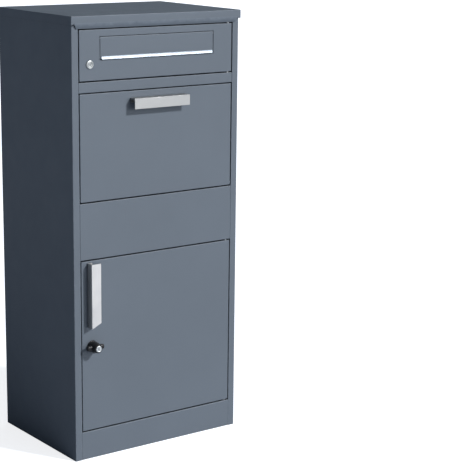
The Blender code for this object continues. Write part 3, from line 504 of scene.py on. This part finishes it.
def merged_copy(node):
    """A CAD node's mesh as one closed surface with its flat faces whole."""
    bm = bmesh.new()
    bm.from_mesh(NODES[node].data)
    bmesh.ops.remove_doubles(bm, verts=bm.verts, dist=MERGE)
    bmesh.ops.dissolve_limit(
        bm, angle_limit=math.radians(0.6), verts=bm.verts, edges=bm.edges, delimit=set()
    )
    return bm


def corner_edges(bm, least):
    """Edges where two faces meet at more than an angle in degrees."""
    return [
        edge for edge in bm.edges
        if len(edge.link_faces) == 2 and edge.calc_face_angle(0.0) > math.radians(least)
    ]


def is_rim(face):
    """A face only as wide as the sheet is thick."""
    around = sum(edge.calc_length() for edge in face.edges)
    return face.calc_area() / (around / 2) < SHEET * 1.25


def round_edges(bm, edges, width, segments):
    """Round some edges, and mark the new faces as edge."""
    layer = bm.faces.layers.float.get("edge") or bm.faces.layers.float.new("edge")
    made = bmesh.ops.bevel(
        bm,
        geom=edges,
        offset=width,
        offset_type="OFFSET",
        affect="EDGES",
        segments=segments,
        profile=0.5,
        clamp_overlap=True,
        material=-1,
    )
    for face in made["faces"]:
        face[layer] = 1.0


def sheet_piece(node, slot="powder_coat", outside=FOLD_OUTSIDE, inside=FOLD_INSIDE):
    """A folded sheet: rounded folds, small broken rims."""
    bm = merged_copy(node)
    folds = [edge for edge in corner_edges(bm, FOLD_ANGLE) if not any(map(is_rim, edge.link_faces))]
    outer = [edge for edge in folds if edge.is_convex]
    inner = [edge for edge in folds if not edge.is_convex]
    round_edges(bm, outer, outside, 3)
    round_edges(bm, [edge for edge in inner if edge.is_valid], inside, 2)
    round_edges(bm, corner_edges(bm, RIM_ANGLE), RIM, 1)
    return finish_piece(bm, node + "_sheet", node, slot)


def solid_piece(node, slot, width=EDGE, segments=2, material=None, least=30.0):
    """A machined or cast piece with its edges broken."""
    bm = merged_copy(node)
    round_edges(bm, corner_edges(bm, least), width, segments)
    return finish_piece(bm, node + "_piece", node, slot, material)


def rolled_cap():
    """The top cap: its front skirt rolls gently into the sloping return below it."""
    bm = merged_copy("top_cap")
    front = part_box("top_cap")[0].y
    rolled = [
        edge for edge in corner_edges(bm, SHALLOW_FOLD)
        if edge.is_convex
        and edge.calc_face_angle() < math.radians(STEEP_FOLD)
        and abs(sum(vert.co.y for vert in edge.verts) / 2 - front) < 2 * SHEET
    ]
    round_edges(bm, rolled, ROLL, 4)
    folds = [edge for edge in corner_edges(bm, RIM_ANGLE) if not any(map(is_rim, edge.link_faces))]
    round_edges(bm, [edge for edge in folds if edge.is_convex], FOLD_OUTSIDE, 3)
    round_edges(bm, corner_edges(bm, RIM_ANGLE), RIM, 1)
    return finish_piece(bm, "top_cap_sheet", "top_cap", "powder_coat")


def welded_back():
    """The back panel, dented where it is spot welded to the side panels' rear flanges."""
    bm = merged_copy("back_panel")
    low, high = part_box("back_panel")
    across = high.x - WELD_INSET
    spacing = (high.z - low.z - 2 * WELD_END) / (WELDS_A_SIDE - 1)
    places = [
        (side * across, low.z + WELD_END + spacing * row) for row in range(WELDS_A_SIDE) for side in (-1, 1)
    ]
    floor, outside = high.y - WELD_DENT, high.y + WELD_OVERRUN
    profile = rounded(
        [
            (0.0, floor), (WELD_FLAT, floor), (WELD_SLOPE, high.y - WELD_DENT * 0.4),
            (WELD_RADIUS, outside), (0.0, outside),
        ],
        WELD_ROUND,
    )
    bm = joined(bm, added(*[spun(profile, 24, (x, 0.0, z)) for x, z in places]), "DIFFERENCE")
    long_edges = [edge for edge in corner_edges(bm, RIM_ANGLE) if edge.calc_length() > LONG_EDGE]
    round_edges(bm, long_edges, RIM, 1)
    return finish_piece(bm, "back_panel_sheet", "back_panel", "powder_coat", None, BODY_BREAK)


SHEET_NODES = [
    "left_side_panel", "right_side_panel", "header_rail", "mail_rail",
    "mail_shelf", "fixed_front_panel", "plinth_panel", "floor_panel", "mail_door_panel", "mail_flap",
    "tray_front_panel", "tray_left_cheek", "tray_right_cheek", "tray_top_wall", "tray_chute_plate",
    "lower_door_panel", "lower_door_stiffener",
]
for sheet in SHEET_NODES:
    sheet_piece(sheet)
rolled_cap()

solid_piece("tray_handle", "satin_handle", 0.0006, 3, "satin_handle_across_shaded")
solid_piece("door_handle", "satin_handle", 0.0006, 3, "satin_handle_upright")
solid_piece("mail_flap_lip", "bright_lip", 0.0003, 2)


# ------------------------------------------------------------------ locks, screws and springs

def spun(profile, steps, middle, axis="Y"):
    """A profile of (radius, place along the axis) points spun into a closed body."""
    bm = bmesh.new()
    corners = [bm.verts.new((radius, along, 0.0)) for radius, along in profile]
    for pair in zip(corners, corners[1:]):
        bm.edges.new(pair)
    bmesh.ops.spin(
        bm,
        geom=bm.verts[:] + bm.edges[:],
        cent=(0.0, 0.0, 0.0),
        axis=(0.0, 1.0, 0.0),
        angle=2.0 * math.pi,
        steps=steps,
        use_merge=True,
    )
    bmesh.ops.remove_doubles(bm, verts=bm.verts, dist=MERGE)
    if axis == "X":
        bmesh.ops.rotate(bm, cent=(0, 0, 0), matrix=Matrix.Rotation(-math.pi / 2, 3, "Z"), verts=bm.verts)
    if axis == "Z":
        bmesh.ops.rotate(bm, cent=(0, 0, 0), matrix=Matrix.Rotation(math.pi / 2, 3, "X"), verts=bm.verts)
    bmesh.ops.translate(bm, vec=middle, verts=bm.verts)
    bmesh.ops.recalc_face_normals(bm, faces=bm.faces)
    return bm


def block(low, high, rounding=0.0, segments=2):
    """A block between two corners, its edges rounded."""
    bm = bmesh.new()
    bmesh.ops.create_cube(bm, size=1.0)
    size = Vector(high) - Vector(low)
    bmesh.ops.scale(bm, vec=size, verts=bm.verts)
    bmesh.ops.translate(bm, vec=(Vector(low) + Vector(high)) / 2, verts=bm.verts)
    if rounding:
        bmesh.ops.bevel(
            bm,
            geom=bm.edges[:],
            offset=rounding,
            offset_type="OFFSET",
            affect="EDGES",
            segments=segments,
            profile=0.5,
            clamp_overlap=True,
            material=-1,
        )
    return bm


def holder(bm, name):
    """A passing object for a modifier to work on."""
    mesh = bpy.data.meshes.new(name)
    bm.to_mesh(mesh)
    bm.free()
    thing = bpy.data.objects.new(name, mesh)
    bpy.context.scene.collection.objects.link(thing)
    return thing


def settled(thing):
    """The object's mesh with its modifiers applied, as a bmesh; the object goes."""
    bpy.context.view_layer.update()
    mesh = bpy.data.meshes.new_from_object(thing.evaluated_get(bpy.context.evaluated_depsgraph_get()))
    bpy.data.objects.remove(thing, do_unlink=True)
    bm = bmesh.new()
    bm.from_mesh(mesh)
    bpy.data.meshes.remove(mesh)
    return bm


def joined(first, second, operation):
    """Two bodies joined, or the second cut from the first."""
    body = holder(first, "body")
    tool = holder(second, "tool")
    boolean = body.modifiers.new("boolean", "BOOLEAN")
    boolean.operation = operation
    boolean.object = tool
    boolean.solver = "EXACT"
    made = settled(body)
    bpy.data.objects.remove(tool, do_unlink=True)
    return made


def remeshed(bm, voxel, passes):
    """Overlapping bodies drawn into one skin with soft fillets."""
    body = holder(bm, "body")
    skin = body.modifiers.new("skin", "REMESH")
    skin.mode = "VOXEL"
    skin.voxel_size = voxel
    soft = body.modifiers.new("soft", "SMOOTH")
    soft.factor = 0.5
    soft.iterations = passes
    return settled(body)


def added(*bodies):
    """Several bodies in one bmesh."""
    whole = bmesh.new()
    for body in bodies:
        mesh = bpy.data.meshes.new("part")
        body.to_mesh(mesh)
        body.free()
        whole.from_mesh(mesh)
        bpy.data.meshes.remove(mesh)
    return whole


def rounded(points, radius, steps=3):
    """A profile with its inner corners rounded by short arcs."""
    made = [points[0]]
    for before, here, after in zip(points, points[1:], points[2:]):
        a, b, c = Vector(before), Vector(here), Vector(after)
        reach = min(radius, (a - b).length / 2.5, (c - b).length / 2.5)
        start, stop = b + (a - b).normalized() * reach, b + (c - b).normalized() * reach
        for step in range(steps + 1):
            t = step / steps
            made.append(tuple((1 - t) ** 2 * start + 2 * t * (1 - t) * b + t * t * stop))
    return made + [points[-1]]


def place_of(node):
    """A turned node's middle line (x, z), its front and rear, and its outer radius."""
    low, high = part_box(node)
    return (low.x + high.x) / 2, (low.z + high.z) / 2, low.y, high.y, (high.z - low.z) / 2


def key_slot(x, z, front, length, width, depth):
    """The cutter for a keyway: a narrow slot with one side notch, like a wafer lock's."""
    slot = block(
        (x - width / 2, front - depth, z - length / 2), (x + width / 2, front + depth, z + length / 2), 0.0003
    )
    notch = block(
        (x - width * 1.1, front - depth, z - length * 0.16),
        (x + width * 0.2, front + depth, z + length * 0.12),
        0.0002,
    )
    return joined(slot, notch, "UNION")


def lock_plug(node, material="lock_metal"):
    """A lock's turning plug: a chamfered face with a turned step and a keyway."""
    x, z, front, rear, radius = place_of(node)
    profile = rounded(
        [
            (0.0, front + 0.00035), (radius * 0.70, front + 0.00035), (radius * 0.74, front),
            (radius * 0.93, front), (radius, front + 0.0005), (radius, rear - 0.0004),
            (radius - 0.0004, rear), (0.0, rear),
        ],
        0.0003,
    )
    body = spun(profile, 64, (x, 0.0, z))
    cut = key_slot(x, z, front, radius * 1.12, KEYWAY_WIDTH, KEYWAY_DEPTH)
    body = joined(body, cut, "DIFFERENCE")
    finish_piece(body, node + "_piece", node, "lock_metal", material, TURNED_BREAK)


def barrel_profile(front, bezel_rear, rear, bezel, barrel, bore):
    """A lock housing's profile: rounded bezel, threaded barrel and bore."""
    face = [
        (bore, front + 0.0006), (bore + 0.0004, front + 0.0002), (bezel * 0.80, front),
        (bezel * 0.95, front + 0.0007), (bezel, front + 0.0014), (bezel, bezel_rear), (barrel, bezel_rear),
    ]
    outer = rounded(face, 0.0004)
    turns = int((rear - bezel_rear - 0.001) / THREAD_PITCH)
    for turn in range(turns):
        along = bezel_rear + 0.0005 + turn * THREAD_PITCH
        outer += [
            (barrel, along),
            (barrel - THREAD_DEPTH, along + THREAD_PITCH * 0.45),
            (barrel, along + THREAD_PITCH * 0.9),
        ]
    return outer + [(barrel, rear - 0.0004), (barrel - 0.0004, rear), (bore, rear), (bore, front + 0.0006)]


def lock_housing(node, slot, barrel, bore, bezel_depth):
    """A lock's fixed body with two flats milled on its thread."""
    x, z, front, rear, bezel = place_of(node)
    body = spun(barrel_profile(front, front + bezel_depth, rear, bezel, barrel, bore), 72, (x, 0.0, z))
    for side in (-1, 1):
        reach = sorted((z + side * (barrel - FLAT_CUT), z + side * (barrel + 0.002)))
        start = front + bezel_depth + FLAT_START
        flat = block((x - barrel, start, reach[0]), (x + barrel, rear + 0.001, reach[1]))
        body = joined(body, flat, "DIFFERENCE")
    finish_piece(body, node + "_piece", node, slot, None, TURNED_BREAK)


def hexagon_nut(node):
    """A hexagon nut, chamfered on both faces; its bore is the CAD node's."""
    bm = merged_copy(node)
    x, z, front, rear, radius = place_of(node)
    blank = radius * 1.04
    dome = spun(
        [
            (0.0, front), (radius * 0.86, front), (blank, front + radius * 0.09),
            (blank, rear - radius * 0.09), (radius * 0.86, rear), (0.0, rear),
        ],
        72,
        (x, 0.0, z),
    )
    finish_piece(joined(bm, dome, "INTERSECT"), node + "_piece", node, "zinc_plate", None, NUT_BREAK)


def cross_screw(node):
    """A pan head screw with a cross recess; its head is at the rear."""
    x, z, front, rear, head = place_of(node)
    shank = head * 0.5
    under = rear - SCREW_HEAD_DEPTH
    profile = [(0.0, front), (shank * 0.75, front), (shank, front + 0.0005)]
    for turn in range(int((under - front - 0.001) / SCREW_PITCH)):
        along = front + 0.0006 + turn * SCREW_PITCH
        profile += [(shank - SCREW_THREAD, along + SCREW_PITCH * 0.5), (shank, along + SCREW_PITCH)]
    rim = under + 0.0004
    profile += [(shank, under), (head * 0.96, under), (head, rim)]
    for step in range(1, HEAD_STEPS + 1):
        turn = math.pi / 2 * step / HEAD_STEPS
        radius = head * math.cos(turn) ** 0.8 if step < HEAD_STEPS else 0.0
        profile.append((radius, rim + (rear - rim) * math.sin(turn)))
    body = spun(profile, 32, (x, 0.0, z))
    arm, width, floor = head * 0.55, head * 0.13, rear - RECESS_DEPTH
    across = block((x - arm, floor, z - width), (x + arm, rear + 0.001, z + width))
    upright = block((x - width, floor, z - arm), (x + width, rear + 0.001, z + arm))
    body = joined(body, joined(across, upright, "UNION"), "DIFFERENCE")
    finish_piece(body, node + "_piece", node, "zinc_plate", None, TURNED_BREAK)


def winged_knob():
    """The black knob: a round body, two wings blended into it, a raised ring round the key plug."""
    x, z, front, rear, half_height = place_of("knob")
    low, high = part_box("knob")
    half_span = (high.x - low.x) / 2
    door_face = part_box("lower_door_panel")[0].y
    plug = place_of("key_plug")
    socket = plug[4] + FIT
    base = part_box("knob_housing")[0].y - FIT
    body = spun(
        rounded(
            [
                (0.0, front + 0.0002), (socket + 0.0019, front + 0.0002), (socket + 0.0024, front + 0.0012),
                (half_height * 0.87, front + 0.0090), (half_height * 0.985, front + 0.0158),
                (half_height * 0.99, base - 0.0020), (half_height * 0.96, base), (0.0, base),
            ],
            0.0016,
            4,
        ),
        96,
        (x, 0.0, z),
    )
    wings = block(
        (x - half_span, door_face - WING_FRONT, z - WING_HALF_WIDTH),
        (x + half_span, door_face - WING_REAR, z + WING_HALF_WIDTH),
        WING_ROUND,
        5,
    )
    skin = remeshed(joined(body, wings, "UNION"), KNOB_SKIN, KNOB_SMOOTHING)
    start, stop = front - 0.002, plug[3] + FIT
    bore = spun([(0.0, start), (socket, start), (socket, stop), (0.0, stop)], 72, (x, 0.0, z))
    skin = joined(skin, bore, "DIFFERENCE")
    spindle = spun(
        [
            (0.0, base - 0.0005), (SPINDLE_RADIUS, base - 0.0005), (SPINDLE_RADIUS, rear - 0.0005),
            (SPINDLE_RADIUS - 0.0005, rear), (0.0, rear),
        ],
        48,
        (x, 0.0, z),
    )
    finish_piece(added(skin, spindle), "knob_piece", "knob", "black_knob", None, BODY_BREAK)


def torsion_spring(node, rod):
    """A torsion spring's round wire: one leg on the flap, five coils, and one leg on the door."""
    low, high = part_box(node)
    rod_low, rod_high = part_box(rod)
    centre_y, centre_z = (rod_low.y + rod_high.y) / 2, (rod_low.z + rod_high.z) / 2
    wire = SPRING_WIRE
    coil = high.z - wire - centre_z
    inner, outer = (low.x + wire, high.x - wire) if low.x > 0 else (high.x - wire, low.x + wire)
    points = [(inner, centre_y + coil, low.z + wire)]
    steps = SPRING_TURNS * SPRING_STEPS
    for step in range(steps + 1):
        angle = 2 * math.pi * step / SPRING_STEPS
        along = inner + (outer - inner) * step / steps
        points.append((along, centre_y + coil * math.cos(angle), centre_z + coil * math.sin(angle)))
    points.append((outer, centre_y + coil, low.z + wire))
    curve = bpy.data.curves.new("spring_wire", "CURVE")
    curve.dimensions = "3D"
    curve.bevel_depth = wire
    curve.bevel_resolution = 3
    curve.use_fill_caps = True
    spline = curve.splines.new("POLY")
    spline.points.add(len(points) - 1)
    for point, place in zip(spline.points, points):
        point.co = (*place, 1.0)
    thing = bpy.data.objects.new("spring_wire", curve)
    bpy.context.scene.collection.objects.link(thing)
    bm = settled(thing)
    bmesh.ops.remove_doubles(bm, verts=bm.verts, dist=MERGE)
    bmesh.ops.recalc_face_normals(bm, faces=bm.faces)
    finish_piece(bm, node + "_piece", node, "zinc_plate", None, RIM_ANGLE)


lock_plug("mail_lock_plug")
lock_plug("key_plug", "key_metal")
lock_housing("mail_lock_housing", "lock_metal", *MAIL_LOCK)
lock_housing("knob_housing", "black_knob", *KNOB_LOCK)
for nut in ("mail_lock_nut", "knob_lock_nut"):
    hexagon_nut(nut)
for screw in [name for name in NODES if "_screw" in name]:
    cross_screw(screw)
winged_knob()
for side in ("left", "right"):
    torsion_spring("flap_spring_" + side, "flap_hinge_rod")
solid_piece("door_buffer", "black_rubber", 0.0006, 3)
for bracket in [name for name in NODES if "bracket" in name]:
    sheet_piece(bracket, "zinc_plate", BRACKET_OUTSIDE, BRACKET_INSIDE)
welded_back()

shown = {name for piece in bpy.context.scene.objects for name in piece.get("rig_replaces", [])}
for node in sorted(set(NODES) - shown):
    solid_piece(node, "zinc_plate", 0.0003, 2)


# ------------------------------------------------------------------ studio

def make_floor():
    """A wide pale floor."""
    material, tree, shader, place = new_material("studio_floor")
    tone = spread(tree, noise(tree, place, 1.5, 2.0, 0.5), 0.3, 0.7)
    feed(tree, shader, "Base Color", blend_colours(tree, tone, FLOOR, FLOOR_LIGHTER))
    feed(tree, shader, "Roughness", 0.85)
    feed(tree, shader, "Emission Color", WHITE)
    seen = put(tree, "ShaderNodeLightPath").outputs["Is Camera Ray"]
    feed(tree, shader, "Emission Strength", maths(tree, "MULTIPLY", seen, FLOOR_GLOW))
    underneath = put(tree, "ShaderNodeMixShader")
    tree.links.new(put(tree, "ShaderNodeNewGeometry").outputs["Backfacing"], underneath.inputs[0])
    tree.links.new(shader.outputs[0], underneath.inputs[1])
    tree.links.new(put(tree, "ShaderNodeBsdfTransparent").outputs[0], underneath.inputs[2])
    tree.links.new(underneath.outputs[0], tree.nodes["Material Output"].inputs["Surface"])
    bm = bmesh.new()
    bmesh.ops.create_grid(bm, x_segments=2, y_segments=2, size=FLOOR_SIZE / 2)
    bmesh.ops.translate(bm, vec=(0.0, 0.0, CAD_BOX[0].z - 0.0005), verts=bm.verts)
    mesh = bpy.data.meshes.new("studio_floor")
    bm.to_mesh(mesh)
    bm.free()
    mesh.materials.append(material)
    floor = bpy.data.objects.new("studio_floor", mesh)
    bpy.context.scene.collection.objects.link(floor)


def make_sun(name, source, strength, angle, mirrored=True):
    """A distant light that shines from a direction; some aren't seen in shiny faces."""
    lamp = bpy.data.lights.new(name, "SUN")
    lamp.energy = strength
    lamp.angle = math.radians(angle)
    stand = bpy.data.objects.new(name, lamp)
    stand.rotation_euler = source.to_track_quat("Z", "Y").to_euler()
    stand.visible_glossy = mirrored
    bpy.context.scene.collection.objects.link(stand)


def make_world():
    """Even light from all round, seen as a white wall."""
    world = bpy.data.worlds.new("studio")
    world.use_nodes = True
    tree = world.node_tree
    room = tree.nodes["Background"]
    room.inputs["Color"].default_value = ROOM_COLOUR
    room.inputs["Strength"].default_value = AMBIENT
    wall = put(tree, "ShaderNodeBackground")
    wall.inputs["Color"].default_value = WHITE
    wall.inputs["Strength"].default_value = 1.0
    mirrored = put(tree, "ShaderNodeBackground")
    mirrored.inputs["Color"].default_value = MIRRORED_COLOUR
    mirrored.inputs["Strength"].default_value = ROOM_IN_METAL
    path = put(tree, "ShaderNodeLightPath")
    inner = put(tree, "ShaderNodeMixShader")
    tree.links.new(path.outputs["Is Glossy Ray"], inner.inputs[0])
    tree.links.new(room.outputs[0], inner.inputs[1])
    tree.links.new(mirrored.outputs[0], inner.inputs[2])
    mix = put(tree, "ShaderNodeMixShader")
    tree.links.new(path.outputs["Is Camera Ray"], mix.inputs[0])
    tree.links.new(inner.outputs[0], mix.inputs[1])
    tree.links.new(wall.outputs[0], mix.inputs[2])
    tree.links.new(mix.outputs[0], tree.nodes["World Output"].inputs["Surface"])
    bpy.context.scene.world = world


def make_camera():
    """The camera at the three-quarter view from the front left."""
    lens = bpy.data.cameras.new("camera")
    lens.lens = CAMERA_LENS
    lens.sensor_width = 36.0
    lens.dof.use_dof = False
    lens.clip_end = 200.0
    camera = bpy.data.objects.new("camera", lens)
    turn = (
        Matrix.Rotation(math.radians(CAMERA_YAW), 4, "Z")
        @ Matrix.Rotation(math.radians(90.0 + CAMERA_PITCH), 4, "X")
        @ Matrix.Rotation(math.radians(-CAMERA_ROLL), 4, "Z")
    )
    camera.matrix_world = Matrix.Translation(CAMERA_PLACE) @ turn
    bpy.context.scene.collection.objects.link(camera)
    bpy.context.scene.camera = camera


make_floor()
make_sun("key_light", KEY_FROM, KEY_STRENGTH, KEY_ANGLE)
make_sun("front_fill", FILL_FROM, FILL_STRENGTH, FILL_ANGLE)
make_sun("back_fill", BACK_FILL_FROM, BACK_FILL_STRENGTH, BACK_FILL_ANGLE, False)
make_world()
make_camera()
bpy.context.scene.view_settings.view_transform = "Standard"
